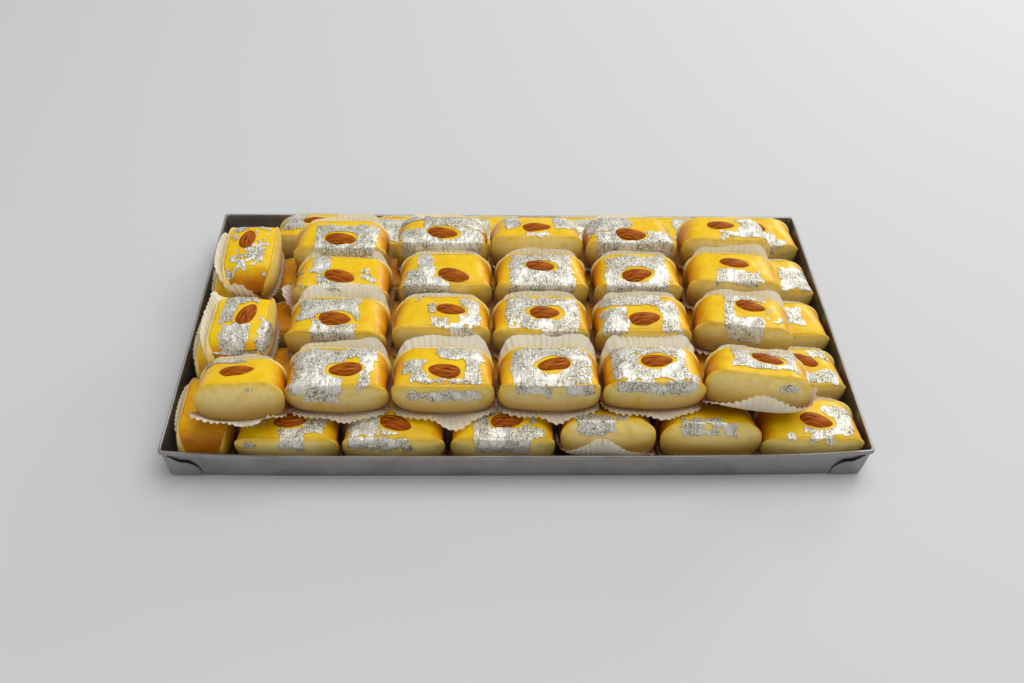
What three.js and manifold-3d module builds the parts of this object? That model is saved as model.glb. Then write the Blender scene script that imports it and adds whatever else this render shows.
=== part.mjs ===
// A folded sheet steel tray, heaped with two layers of malai sandwiches in fluted paper cases.
// Millimetres, +Z up. The origin is the middle of the tray's underside, and +X runs to the right.

import * as THREE from "three";
import { mergeVertices } from "three/addons/utils/BufferGeometryUtils.js";
import Module from "manifold-3d";

const wasm = await Module();
wasm.setup();

// Tray
const TRAY_LENGTH = 430;
const TRAY_DEPTH = 237;
const TRAY_HEIGHT = 23.5;
const SHEET = 0.9;
const WALL_LEAN = 2;
const CORNER_RADIUS = 2;
const BEND_RADIUS = 1.2;
const HEM_DROP = 3;
const HEM_THICKNESS = 0.8;
const HEM_ROUND = 0.4;
const EAR_REACH = 25;
const EAR_THICKNESS = 0.6;
const EAR_BITE = 0.3;

// Sweet: along is its long way, across is from slab to slab
const SWEET_LENGTH = 62;
const SWEET_WIDTH = 38;
const SWEET_HEIGHT = 28;
const CUT_HEIGHT = 26.6;
const END_NOTCH = 4.5;
const LOBE_REACH = 1.045;
const FILLING_REACH = 8;
const OUTLINE_POWER = 3.6;
const CROWN = { along: 0.78, across: 0.4 };
const ALMOND = { length: 23, width: 12.5, height: 8, sunk: 1.2 };

// Half size of the sweet at each height, as a share of its fullest
const PROFILE = [
  { z: 0, along: 0.84, across: 0.66 },
  { z: 5, along: 0.95, across: 0.9 },
  { z: 13, along: 1, across: 1 },
  { z: 20, along: 0.99, across: 0.985 },
  { z: CUT_HEIGHT, along: 0.955, across: 0.93 },
];
const FULLEST = 13;

// Paper case: front, end and back values
const PAPER = 0.8;
const FLUTE = 0.35;
const BELLY_GAP = 0.6;
const END_FLARE = 0.9;
const CASE_BELLY = { front: 1.6, end: 3.4, back: 8.5 };
const CASE_RIM = { front: 4.2, end: 6.2, back: 25 };
const CASE_FOOT = { front: 5.4, end: 7.4, back: 11.6 };

// Layers
const LAYER_GAP = 0.6;
const LOW_BASE = SHEET + LAYER_GAP;
const HIGH_BASE = LOW_BASE + SWEET_HEIGHT + LAYER_GAP;

// A plain sweet: its sizes, how it lies, and how far its case stands out in front and behind
const PLAIN_SWEET = {
  length: SWEET_LENGTH,
  width: SWEET_WIDTH,
  height: SWEET_HEIGHT,
  turn: 0,
  tip: 0,
  flare: 4,
  lean: 2,
  shown: true,
};

const SIDES_SHOWN = 16;
const SIDES_COVERED = 12;

// The upper layer, row by row from the front: column, middle of the sweet, and how it lies.
// Turn is seen from above, and tip leans it back, both in degrees.
// The almond's place is along and across from the middle, with its own turn.
const UPPER = [
  { row: "a", col: 0, x: -167, y: -90.5, turn: 4, tip: 18, length: 56, almond: [0, -3, 8], lean: 1.2 },
  { row: "a", col: 1, x: -110, y: -80, almond: [5, -4, 6] },
  { row: "a", col: 2, x: -46, y: -80, almond: [0, -5, -10] },
  { row: "a", col: 3, x: 18, y: -79, flare: 1.2, almond: [2, -1, 12] },
  { row: "a", col: 4, x: 81.5, y: -78.5, flare: 1.2, tip: 3, almond: [2.5, 0.5, 6] },
  { row: "a", col: 5, x: 145, y: -82, turn: -10, tip: 17, length: 63, almond: [5, 1, -14] },
  { row: "b", col: 0, x: -174, y: -37.5, turn: 88, length: 59, width: 40, almond: [3.5, -4, -16] },
  { row: "b", col: 1, x: -114, y: -33, turn: -2, length: 64, almond: [0, -5.5, -6] },
  { row: "b", col: 2, x: -48.2, y: -32, tip: 5, almond: [7, -1, -14] },
  { row: "b", col: 3, x: 15, y: -31, almond: [3, -2, -4] },
  { row: "b", col: 4, x: 80, y: -31, almond: [1, -6.5, 8] },
  { row: "b", col: 5, x: 145, y: -31, turn: -8, tip: 6, almond: [4.5, 2.5, -14] },
  { row: "c", col: 0, x: -179, y: 36, turn: 92, almond: [6.5, 2, -6] },
  { row: "c", col: 1, x: -115, y: 9, turn: -2, length: 64, almond: [0, -6, -14], lean: 1.2 },
  { row: "c", col: 2, x: -47, y: 13, almond: [6, -8, -14] },
  { row: "c", col: 3, x: 17, y: 13.5, lean: 1.2, almond: [0, 0, -6] },
  { row: "c", col: 4, x: 81, y: 13, length: 59, almond: [0, -7, 10] },
  { row: "c", col: 5, x: 146, y: 14, turn: -3, tip: 4, almond: [1, 1.5, -6] },
  { row: "d", col: 1, x: -119, y: 48.5, tip: 4, length: 64, flare: 1.2, almond: [1, -8, -6] },
  { row: "d", col: 2, x: -50, y: 54, tip: 5, length: 63, almond: [1, -7, -8] },
  { row: "d", col: 3, x: 15, y: 54.2, tip: 13, length: 63, almond: [1, -5, 2] },
  { row: "d", col: 4, x: 80, y: 54, tip: 7, length: 63, almond: [0, -9, -5] },
  { row: "d", col: 5, x: 147, y: 55, turn: -2, tip: 9, almond: [-2, 0, 2] },
];

// The lower layer: five rows of six columns, and three turned sweets down the left wall
const LOWER_ROWS = { e: -96.4, f: -50, g: -4, h: 43, i: 93 };
const LOWER_FIRST_X = -140;
const LOWER_LAST_X = 180;
const LOWER_COLUMNS = 6;
const LEFT_COLUMN_X = -190.5;
const LEFT_COLUMN = { e: -85, f: -21, g: 43 };

// What differs from the plain lower sweet, where one shows
const LOWER_SHOWN = {
  e0: { y: -83.5, width: 35 },
  e1: { almond: [1, -3, 12] },
  e2: { almond: [2, -5, -18] },
  e3: { x: -10, length: 64, almond: [3.5, -3, 5] },
  e4: { x: 54, y: -97.2, length: 58, width: 34, height: 25, tip: 30 },
  e5: { x: 117, y: -97, width: 34, height: 26, tip: 24 },
  e6: { x: 179.5, length: 63, almond: [3, -3, -18] },
  f0: { width: 36 },
  g0: { width: 36 },
  f6: { almond: [6, 3, -20] },
  g6: {},
  h6: {},
  i1: { x: -143, y: 94.5, tip: 10, almond: [0, 2, 6] },
  i2: { x: -78 },
  i3: { x: -13 },
  i4: {},
  i5: {},
  i6: { almond: [0, 4, -30] },
};

const COLOUR = { steel: "#8d8c8a", sweet: "#efc23a", lower: "#e2ae2c" };
const radians = THREE.MathUtils.degToRad;
const mix = THREE.MathUtils.lerp;

// A closed body from rings of equally many points, each ring a list of [x, y, z]
function loft(rings) {
  const sides = rings[0].length;
  const points = rings.flat();
  const faces = [];
  for (let r = 0; r + 1 < rings.length; r += 1) {
    for (let i = 0; i < sides; i += 1) {
      const here = r * sides + i;
      const next = r * sides + ((i + 1) % sides);
      faces.push(here, next, next + sides, here, next + sides, here + sides);
    }
  }
  const middle = (ring) => [0, 1, 2].map((k) => ring.reduce((sum, p) => sum + p[k], 0) / sides);
  const under = points.push(middle(rings[0])) - 1;
  const over = points.push(middle(rings.at(-1))) - 1;
  const last = (rings.length - 1) * sides;
  for (let i = 0; i < sides; i += 1) {
    const next = (i + 1) % sides;
    faces.push(under, next, i, over, last + i, last + next);
  }
  const shape = new THREE.BufferGeometry();
  shape.setAttribute("position", new THREE.Float32BufferAttribute(points.flat(), 3));
  shape.setIndex(faces);
  return shape;
}

function toSolid(shape) {
  const bare = shape.clone();
  bare.deleteAttribute("normal");
  bare.deleteAttribute("uv");
  const merged = mergeVertices(bare, 1e-3);
  const vertProperties = new Float32Array(merged.attributes.position.array);
  const triVerts = new Uint32Array(merged.index.array);
  return new wasm.Manifold(new wasm.Mesh({ numProp: 3, vertProperties, triVerts }));
}

function toShape(solid) {
  const mesh = solid.getMesh();
  const shape = new THREE.BufferGeometry();
  shape.setAttribute("position", new THREE.BufferAttribute(mesh.vertProperties, 3));
  shape.setIndex(new THREE.BufferAttribute(mesh.triVerts, 1));
  return shape;
}

const fuse = (shapes) => toShape(shapes.map(toSolid).reduce((whole, one) => whole.add(one)));

// Share of the fullest size at a height, read along the profile
function shareAt(z) {
  const above = Math.max(1, PROFILE.findIndex((p) => p.z >= z));
  const [low, high] = [PROFILE[above - 1], PROFILE[above]];
  const t = (z - low.z) / (high.z - low.z);
  return { along: mix(low.along, high.along, t), across: mix(low.across, high.across, t) };
}

// A point on the sweet's skin, or further out by a gap, at an angle round it and a height
function skin(sweet, angle, z, out = 0, share = shareAt(z)) {
  const round = (v) => Math.sign(v) * Math.abs(v) ** (2 / OUTLINE_POWER);
  const y = (sweet.width / 2) * share.across * round(Math.sin(angle));
  const notch = END_NOTCH * Math.exp(-((y / FILLING_REACH) ** 2)) * Math.min(1, z / FULLEST);
  const half = sweet.shown ? (sweet.length / 2) * LOBE_REACH * share.along - notch
    : (sweet.length / 2) * share.along;
  const x = half * round(Math.cos(angle));
  return [x + out * Math.cos(angle), y + out * Math.sin(angle), z];
}

// A value that goes from the front by the ends to the back of the case
function roundTheCase(values, angle) {
  const back = Math.sin(angle);
  const t = THREE.MathUtils.smoothstep(Math.abs(back), 0.1, 0.9);
  return mix(values.end, back > 0 ? values.back : values.front, t);
}

function caseRings(sweet, angles) {
  const flare = { front: sweet.flare, end: END_FLARE, back: sweet.lean };
  const flute = (i) => (i % 2 ? FLUTE : -FLUTE);
  const at = (values, a) => roundTheCase(values, a);
  const rim = (a, i, up, out) =>
    skin(sweet, a, at(CASE_RIM, a) + up, at(flare, a) + flute(i) + out);
  return [
    angles.map((a) => skin(sweet, a, at(CASE_BELLY, a), BELLY_GAP)),
    angles.map((a, i) => rim(a, i, 0, 0)),
    angles.map((a, i) => rim(a, i, PAPER / 2, -PAPER)),
    angles.map((a) => skin(sweet, a, at(CASE_FOOT, a))),
  ];
}

function bunShape(sweet) {
  const sides = sweet.shown ? SIDES_SHOWN : SIDES_COVERED;
  const angles = Array.from({ length: sides }, (_, i) => (2 * Math.PI * i) / sides);
  const ring = (z, share) => angles.map((a) => skin(sweet, a, z, 0, share));
  const crown = angles.map((a) => skin(sweet, a, SWEET_HEIGHT, 0, CROWN));
  const sleeve = sweet.shown ? caseRings(sweet, angles) : [];
  return loft([ring(0), ...sleeve, ring(FULLEST), ring(CUT_HEIGHT), crown]);
}

// A whole almond lying on its flat side, blunt at one end and pointed at the other
function almondShape([along, across, turn]) {
  const stations = [-0.5, -0.32, 0.05, 0.33, 0.5];
  const girth = [0.12, 0.78, 1, 0.62, 0.1];
  const sides = 8;
  const rings = stations.map((s, k) =>
    Array.from({ length: sides }, (_, i) => {
      const a = (2 * Math.PI * i) / sides;
      const wide = (ALMOND.width / 2) * girth[k];
      const high = (ALMOND.height / 2) * girth[k];
      return [s * ALMOND.length, wide * Math.cos(a), high * Math.sin(a)];
    }),
  );
  const shape = loft(rings);
  shape.rotateZ(radians(turn));
  shape.translate(along, across, SWEET_HEIGHT - ALMOND.sunk);
  return shape;
}

function sweetMesh(name, options) {
  const sweet = { ...PLAIN_SWEET, ...options };
  const parts = [bunShape(sweet)];
  if (sweet.almond) {
    parts.push(almondShape(sweet.almond));
  }
  const shape = fuse(parts);
  shape.translate(0, 0, -SWEET_HEIGHT / 2);
  shape.scale(1, 1, sweet.height / SWEET_HEIGHT);
  shape.rotateX(-radians(sweet.tip));
  shape.rotateZ(radians(sweet.turn));
  shape.computeBoundingBox();
  shape.translate(0, 0, -shape.boundingBox.min.z);
  const color = sweet.base > LOW_BASE ? COLOUR.sweet : COLOUR.lower;
  const material = new THREE.MeshStandardMaterial({ color, roughness: 0.35, metalness: 0 });
  const mesh = new THREE.Mesh(shape, material);
  mesh.name = name;
  mesh.position.set(sweet.x, sweet.y, sweet.base);
  return mesh;
}

// A rectangle with round corners, as a ring at one height
function trayRing(inset, z) {
  const ring = [];
  const corners = [[1, 1, 0], [-1, 1, 90], [-1, -1, 180], [1, -1, 270]];
  for (const [sx, sy, start] of corners) {
    for (const step of [0, 45, 90]) {
      const a = radians(start + step);
      const x = sx * (TRAY_LENGTH / 2 - inset - CORNER_RADIUS) + CORNER_RADIUS * Math.cos(a);
      const y = sy * (TRAY_DEPTH / 2 - inset - CORNER_RADIUS) + CORNER_RADIUS * Math.sin(a);
      ring.push([x, y, z]);
    }
  }
  return ring;
}

// How far the wall's outer face stands in from the rim at a height
const wallInset = (z) => HEM_THICKNESS + WALL_LEAN * (1 - z / TRAY_HEIGHT);

function panShape() {
  const hemFoot = TRAY_HEIGHT - HEM_DROP;
  return loft([
    trayRing(wallInset(0) + BEND_RADIUS, 0),
    trayRing(wallInset(BEND_RADIUS), BEND_RADIUS),
    trayRing(wallInset(hemFoot), hemFoot),
    trayRing(HEM_ROUND / 4, hemFoot + HEM_ROUND / 4),
    trayRing(0, TRAY_HEIGHT - HEM_ROUND),
    trayRing(HEM_ROUND, TRAY_HEIGHT),
    trayRing(wallInset(TRAY_HEIGHT) + SHEET, TRAY_HEIGHT - HEM_ROUND / 4),
    trayRing(wallInset(0) + SHEET + BEND_RADIUS, SHEET),
  ]);
}

// The spare metal of a corner, folded flat against the long wall as a tongue with a wavy edge
function earShape(side, facing) {
  const wave = [
    new THREE.Vector2(0, 19.4),
    new THREE.Vector2(9, 14.5),
    new THREE.Vector2(15, 15.5),
    new THREE.Vector2(22, 11.5),
    new THREE.Vector2(EAR_REACH, 8),
  ];
  const edge = new THREE.SplineCurve(wave).getPoints(8);
  const outline = new THREE.Shape([new THREE.Vector2(0, BEND_RADIUS), ...edge]);
  outline.lineTo(EAR_REACH - 1, BEND_RADIUS);
  const depth = EAR_THICKNESS + EAR_BITE;
  const shape = new THREE.ExtrudeGeometry(outline, { depth, bevelEnabled: false });
  shape.rotateX(Math.PI / 2 + Math.atan2(WALL_LEAN, TRAY_HEIGHT));
  const fromCorner = TRAY_LENGTH / 2 - wallInset(0) - CORNER_RADIUS;
  shape.translate(-fromCorner, -TRAY_DEPTH / 2 + wallInset(0) + EAR_BITE, 0);
  if (side !== facing) {
    shape.scale(-1, 1, 1);
    flipFaces(shape);
  }
  if (facing > 0) {
    shape.rotateZ(Math.PI);
  }
  return shape;
}

// A mirrored shape has its faces turned the right way out again
function flipFaces(shape) {
  if (!shape.index) {
    shape.setIndex(Array.from({ length: shape.attributes.position.count }, (_, i) => i));
  }
  const index = shape.index.array;
  for (let i = 0; i < index.length; i += 3) {
    [index[i], index[i + 1]] = [index[i + 1], index[i]];
  }
}

function trayMesh() {
  const ears = [-1, 1].flatMap((facing) => [-1, 1].map((side) => earShape(side, facing)));
  const material = new THREE.MeshStandardMaterial({ color: COLOUR.steel, roughness: 0.35, metalness: 1 });
  const mesh = new THREE.Mesh(fuse([panShape(), ...ears]), material);
  mesh.name = "tray";
  return mesh;
}

const tray = new THREE.Group();
tray.add(trayMesh());

for (const { row, col, ...sweet } of UPPER) {
  tray.add(sweetMesh(`upper_${row}${col}`, { ...sweet, base: HIGH_BASE }));
}

// A covered lower sweet has its almond pressed in flush and its case pressed flat
const snug = { base: LOW_BASE, flare: 0.4, lean: 1.2 };
const columnStep = (LOWER_LAST_X - LOWER_FIRST_X) / (LOWER_COLUMNS - 1);
for (const [row, y] of Object.entries(LOWER_ROWS)) {
  for (let col = 1; col <= LOWER_COLUMNS; col += 1) {
    const x = LOWER_FIRST_X + (col - 1) * columnStep;
    const own = LOWER_SHOWN[row + col];
    tray.add(sweetMesh(`lower_${row}${col}`, { ...snug, x, y, shown: Boolean(own), ...own }));
  }
}
for (const [row, y] of Object.entries(LEFT_COLUMN)) {
  const own = LOWER_SHOWN[`${row}0`];
  tray.add(sweetMesh(`lower_${row}0`, { ...snug, x: LEFT_COLUMN_X, y, turn: 90, ...own }));
}

export default tray;
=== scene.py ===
# %% [markdown]
# # A tray of malai sandwiches
# A malai sandwich is an Indian milk sweet: a soft oblong of chhena, which is poached milk curd, is
# split lengthwise and opened round a thick line of malai, a sweet saffron cream. Torn silver leaf and
# one almond go on top, and each sweet sits in a fluted paper case. Here 56 of them fill a folded
# steel tray in two layers. The CAD model fixes where each one lies and how big it is. This lesson
# dresses it: every sweet is made again in its own small frame in millimetres, from a few functions
# and a table of what differs, and is then laid down exactly where its CAD node is.

# %% Load the frame
import math

import bpy
import numpy as np
from mathutils import Matrix, Vector
from mathutils.bvhtree import BVHTree


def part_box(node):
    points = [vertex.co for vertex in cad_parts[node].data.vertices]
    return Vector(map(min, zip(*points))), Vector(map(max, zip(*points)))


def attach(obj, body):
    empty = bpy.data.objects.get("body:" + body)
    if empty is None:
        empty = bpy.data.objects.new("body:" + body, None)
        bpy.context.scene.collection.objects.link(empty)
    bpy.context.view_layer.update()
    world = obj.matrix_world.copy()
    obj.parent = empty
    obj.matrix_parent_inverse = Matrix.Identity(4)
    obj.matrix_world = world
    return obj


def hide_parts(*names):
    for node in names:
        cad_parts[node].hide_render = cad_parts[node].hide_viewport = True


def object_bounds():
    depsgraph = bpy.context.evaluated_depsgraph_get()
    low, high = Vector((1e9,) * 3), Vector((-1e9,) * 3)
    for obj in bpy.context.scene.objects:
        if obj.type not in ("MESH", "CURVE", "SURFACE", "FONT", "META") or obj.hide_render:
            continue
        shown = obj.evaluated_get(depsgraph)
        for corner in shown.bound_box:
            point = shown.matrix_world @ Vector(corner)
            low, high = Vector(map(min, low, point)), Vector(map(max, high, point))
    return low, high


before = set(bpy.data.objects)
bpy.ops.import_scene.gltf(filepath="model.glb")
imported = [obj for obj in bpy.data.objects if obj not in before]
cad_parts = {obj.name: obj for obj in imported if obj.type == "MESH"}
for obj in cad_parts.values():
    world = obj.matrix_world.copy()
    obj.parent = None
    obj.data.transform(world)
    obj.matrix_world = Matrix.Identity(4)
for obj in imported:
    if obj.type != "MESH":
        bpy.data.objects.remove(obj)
cad_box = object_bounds()
print("CAD box in mm:", [[round(1000 * c, 1) for c in corner] for corner in cad_box])

# %% [markdown]
# ## The camera
# The place and tilt of the camera were worked out from the tray's corners in the photograph: it
# looks down on the front of the tray by about 43 degrees, from about 0.75 m away. A camera's matrix
# holds its right, up and backward directions, so the three angles are turned into those three first.

# %% Camera
MM = 0.001
CAMERA_PLACE = (-24.992, -545.631, 511.790)
CAMERA_PITCH = 0.7502
CAMERA_YAW = -0.0427
CAMERA_ROLL = 0.0308
FOCAL_PIXELS = 1081
PHOTO_WIDTH = 1024
SENSOR = 36


def camera_axes(pitch, yaw, roll):
    """Right, up and forward for a camera that looks along +Y, tilted down, turned and rolled"""
    turn = Matrix.Rotation(yaw, 3, "Z")
    right = turn @ Vector((1, 0, 0))
    forward = turn @ Vector((0, math.cos(pitch), -math.sin(pitch)))
    up = turn @ Vector((0, math.sin(pitch), math.cos(pitch)))
    rolled_right = math.cos(roll) * right + math.sin(roll) * up
    rolled_up = math.cos(roll) * up - math.sin(roll) * right
    return rolled_right, rolled_up, forward


right, up, forward = camera_axes(CAMERA_PITCH, CAMERA_YAW, CAMERA_ROLL)
camera_data = bpy.data.cameras.new("camera")
camera_data.sensor_width = SENSOR
camera_data.lens = FOCAL_PIXELS / PHOTO_WIDTH * SENSOR
camera = bpy.data.objects.new("camera", camera_data)
camera.matrix_world = Matrix.Translation(Vector(CAMERA_PLACE) * MM) @ Matrix(
    (right, up, -forward)
).transposed().to_4x4()
bpy.context.scene.collection.objects.link(camera)
bpy.context.scene.camera = camera
print("lens", round(camera_data.lens, 1), "mm")

# %% [markdown]
# ## Colours and shader nodes
# A colour picker shows sRGB values, but a shader works in linear light, so one function turns the
# hex value that the eye matched into the number that Cycles wants. One more function adds a node,
# fills in its sockets and links it, so that a material reads as a short list of what it is made of.

# %% Colour and node helpers


def linear(hex_colour):
    """A hex colour as linear light"""
    parts = [int(hex_colour[i : i + 2], 16) / 255 for i in (1, 3, 5)]
    return tuple(c / 12.92 if c <= 0.04045 else ((c + 0.055) / 1.055) ** 2.4 for c in parts) + (1.0,)


def add_node(material, kind, settings=(), links=()):
    """One shader node. Settings are sockets or properties, links come from sockets or first outputs"""
    node = material.node_tree.nodes.new("ShaderNode" + kind)
    for name, value in dict(settings).items():
        if isinstance(name, str) and name not in node.inputs:
            setattr(node, name, value)
        else:
            node.inputs[name].default_value = value
    for name, source in dict(links).items():
        output = source if isinstance(source, bpy.types.NodeSocket) else source.outputs[0]
        material.node_tree.links.new(output, node.inputs[name])
    return node


def new_material(name):
    """An empty material, and where each of its points lies in metres"""
    material = bpy.data.materials.new(name)
    material.use_nodes = True
    material.node_tree.nodes.clear()
    return material, add_node(material, "TexCoord").outputs["Object"]


def set_ramp(node, stops):
    """Places and colours along a colour ramp"""
    ramp = node.color_ramp
    while len(ramp.elements) < len(stops):
        ramp.elements.new(0.5)
    for element, (place, colour) in zip(ramp.elements, stops):
        element.position = place
        element.color = linear(colour)


def per_metre(millimetres):
    """The texture scale that repeats a pattern at a real size"""
    return 1000 / millimetres


# %% [markdown]
# ## Chhena
# Chhena is fresh milk curd, kneaded smooth and poached in syrup. It is cream coloured, moist and
# soft, so light goes a little way into it, and its surface has a faint grain with tiny pits from the
# curd. The cut edge is brushed with saffron milk, and the yellow runs down the side unevenly. Each
# half's mesh carries how far the saffron reaches in an attribute, so the stain follows the edge. A
# second attribute, the foot, carries painted shade: the colour turns a darker olive brown towards
# the bottom of each half, where its side turns under and gets less light.

# %% Chhena material
CURD_GRAIN = 1.1
CURD_MOTTLE = 9.0
STAIN_BREAK = 5.0

chhena, place = new_material("chhena")
mottle = add_node(
    chhena, "TexNoise", {"Scale": per_metre(CURD_MOTTLE), "Detail": 3.0, "Roughness": 0.6},
    {"Vector": place}
)
cream = add_node(chhena, "ValToRGB", {}, {"Fac": mottle})
set_ramp(cream, [(0.3, "#E8C86A"), (0.52, "#F6DE92"), (0.72, "#EECF7A")])
saffron = add_node(chhena, "Attribute", {"attribute_name": "saffron"})
breaks = add_node(
    chhena, "TexNoise", {"Scale": per_metre(STAIN_BREAK), "Detail": 4.0, "Roughness": 0.62},
    {"Vector": place}
)
uneven = add_node(chhena, "Math", {"operation": "MULTIPLY_ADD", 1: 0.9, 2: -0.45}, {0: breaks})
reach = add_node(
    chhena, "Math", {"operation": "ADD", "use_clamp": True}, {0: saffron.outputs["Fac"], 1: uneven}
)
stain = add_node(chhena, "ValToRGB", {}, {"Fac": reach})
set_ramp(stain, [(0.0, "#000000"), (0.25, "#2B2B2B"), (0.62, "#B8B8B8"), (0.95, "#F0F0F0")])
gold = add_node(chhena, "ValToRGB", {}, {"Fac": reach})
set_ramp(gold, [(0.3, "#F6D63A"), (0.7, "#F0CA14"), (1.0, "#E4B408")])
curd = add_node(chhena, "Mix", {"data_type": "RGBA"}, {0: stain, 6: cream, 7: gold})
# Painted shade: the foot attribute darkens the curd towards the bottom of each half
foot = add_node(chhena, "Attribute", {"attribute_name": "foot"})
curd_with_painted_shade = add_node(
    chhena, "Mix", {"data_type": "RGBA", 7: linear("#B28530")},
    {0: foot.outputs["Fac"], 6: curd.outputs[2]}
)
grain = add_node(
    chhena, "TexNoise", {"Scale": per_metre(CURD_GRAIN), "Detail": 3.0, "Roughness": 0.55},
    {"Vector": place}
)
relief = add_node(chhena, "Bump", {"Strength": 0.25, "Distance": 0.3 * MM}, {"Height": grain})
moist = add_node(chhena, "MapRange", {"To Min": 0.36, "To Max": 0.52}, {"Value": mottle})
skin_shader = add_node(
    chhena, "BsdfPrincipled", {"IOR": 1.45, "Subsurface Weight": 0.35, "Subsurface Scale": 1.0 * MM,
    "Subsurface Radius": (1.9, 1.6, 0.8), "Coat Weight": 0.12, "Coat Roughness": 0.22},
    {"Base Color": curd_with_painted_shade.outputs[2], "Normal": relief, "Roughness": moist}
)
add_node(chhena, "OutputMaterial", {}, {"Surface": skin_shader})
print("chhena grain every", CURD_GRAIN, "mm")

# %% [markdown]
# ## Malai
# The filling is cream boiled down with sugar and saffron to a thick smooth paste. It was smoothed
# with a wet blade, so it is the glossiest thing on the tray: bright yellow on top. Its colour is
# painted a deeper orange low on its sides and in the hollow ends, as painted shade where little
# light comes in. The mesh says how deep each point lies for that painted shade, and a soft
# cloudiness a few millimetres wide keeps the top from looking like plastic.

# %% Malai material
MALAI_CLOUD = 9.0
BLADE_WAVE = 3.2

malai, place = new_material("malai")
cloud = add_node(
    malai, "TexNoise", {"Scale": per_metre(MALAI_CLOUD), "Detail": 5.0, "Roughness": 0.6},
    {"Vector": place}
)
# Painted shade: an attribute of the mesh turns the malai a deeper orange low down and at its ends
depth = add_node(malai, "Attribute", {"attribute_name": "depth"})
clouded = add_node(malai, "Math", {"operation": "MULTIPLY_ADD", 1: 1.1, 2: -0.55}, {0: cloud})
tone = add_node(
    malai, "Math", {"operation": "ADD", "use_clamp": True}, {0: depth.outputs["Fac"], 1: clouded}
)
yellow_and_painted_shade = add_node(malai, "ValToRGB", {}, {"Fac": tone})
set_ramp(yellow_and_painted_shade, [(0.0, "#F6CC0C"), (0.3, "#EFB506"), (0.65, "#DC9002"), (1.0, "#BA6E04")])
blade = add_node(
    malai, "TexNoise", {"Scale": per_metre(BLADE_WAVE), "Detail": 1.5, "Roughness": 0.4},
    {"Vector": place}
)
ripple = add_node(malai, "Bump", {"Strength": 0.22, "Distance": 0.5 * MM}, {"Height": blade})
cream_shader = add_node(
    malai, "BsdfPrincipled", {"IOR": 1.46, "Roughness": 0.4, "Specular IOR Level": 0.25,
    "Subsurface Weight": 0.2, "Subsurface Scale": 1.0 * MM, "Subsurface Radius": (1.6, 1.2, 0.4),
    "Coat Weight": 0.1, "Coat Roughness": 0.12}, {"Base Color": yellow_and_painted_shade, "Normal": ripple}
)
add_node(malai, "OutputMaterial", {}, {"Surface": cream_shader})
print("malai clouds about", MALAI_CLOUD, "mm wide")

# %% [markdown]
# ## Silver leaf
# Edible silver leaf is beaten so thin that it clings to every grain and tears at a touch. From here
# it is a white sparkle: some zones were pressed smooth and gleam, others crackled into tiny plates
# with dark lines between them, and fine creases run from front to back, the way it was laid. The
# creases also darken the colour, as painted shade, and fine specks darken it at random. It is
# bare metal, but so thin and broken that each spot is partly the pale cream under it, so Metallic
# stays below 1. The plates are about two millimetres wide and are drawn at that size.

# %% Silver leaf material
LEAF_PLATE = 2.0
LEAF_SPECK = 1.3
LEAF_FOLD = 4.5
PRESSED_ZONE = 9.0
CREASE = (1.1, 6.0, 6.0)

silver_leaf, place = new_material("silver leaf")
wander = add_node(
    silver_leaf, "TexNoise", {"Scale": per_metre(LEAF_FOLD), "Detail": 3.0, "Roughness": 0.6},
    {"Vector": place}
)
shaken = add_node(
    silver_leaf, "VectorMath", {"operation": "MULTIPLY_ADD", 1: (0.003, 0.003, 0.003)},
    {0: wander.outputs["Color"], 2: place}
)
zones = add_node(
    silver_leaf, "TexNoise", {"Scale": per_metre(PRESSED_ZONE), "Detail": 2.0, "Roughness": 0.5},
    {"Vector": place}
)
crackled = add_node(silver_leaf, "MapRange", {"From Min": 0.34, "From Max": 0.55}, {"Value": zones})
plates = add_node(
    silver_leaf, "TexVoronoi", {"Scale": per_metre(LEAF_PLATE), "feature": "DISTANCE_TO_EDGE"},
    {"Vector": shaken}
)
lines = add_node(silver_leaf, "ValToRGB", {}, {"Fac": plates})
set_ramp(lines, [(0.0, "#96928A"), (0.05, "#D0CDC4"), (0.12, "#FFFFFF"), (1.0, "#FFFFFF")])
specks = add_node(
    silver_leaf, "TexNoise", {"Scale": per_metre(LEAF_SPECK), "Detail": 2.0, "Roughness": 0.7},
    {"Vector": shaken}
)
# Darker specks at random in the leaf's colour
speck_tone = add_node(silver_leaf, "ValToRGB", {}, {"Fac": specks})
set_ramp(speck_tone, [(0.3, "#7A7566"), (0.4, "#C0BCAE"), (0.47, "#F8F6F0"), (1.0, "#FFFFFF")])
drawn_out = add_node(
    silver_leaf, "VectorMath", {"operation": "MULTIPLY", 1: [per_metre(size) for size in CREASE]},
    {0: shaken}
)
creases = add_node(
    silver_leaf, "TexNoise", {"Scale": 1.0, "Detail": 3.0, "Roughness": 0.6}, {"Vector": drawn_out}
)
# Painted shade: the creases darken the leaf's colour as well as bending it
crease_painted_shade = add_node(silver_leaf, "ValToRGB", {}, {"Fac": creases})
set_ramp(crease_painted_shade, [(0.34, "#78746A"), (0.42, "#CFCCC4"), (0.48, "#FFFFFF"), (1.0, "#FFFFFF")])
broken = add_node(
    silver_leaf, "Mix", {"data_type": "RGBA", "blend_type": "MULTIPLY", 0: 1.0}, {6: lines, 7: speck_tone}
)
tone = add_node(
    silver_leaf, "Mix", {"data_type": "RGBA", 6: linear("#FFFFFF")}, {0: crackled, 7: broken.outputs[2]}
)
crease_shaded_leaf = add_node(
    silver_leaf, "Mix", {"data_type": "RGBA", "blend_type": "MULTIPLY", 0: 0.55},
    {6: tone.outputs[2], 7: crease_painted_shade}
)
metal_colour = add_node(
    silver_leaf, "Mix", {"data_type": "RGBA", "blend_type": "MULTIPLY", 0: 1.0, 7: linear("#F7F4EA")},
    {6: crease_shaded_leaf.outputs[2]}
)
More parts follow.
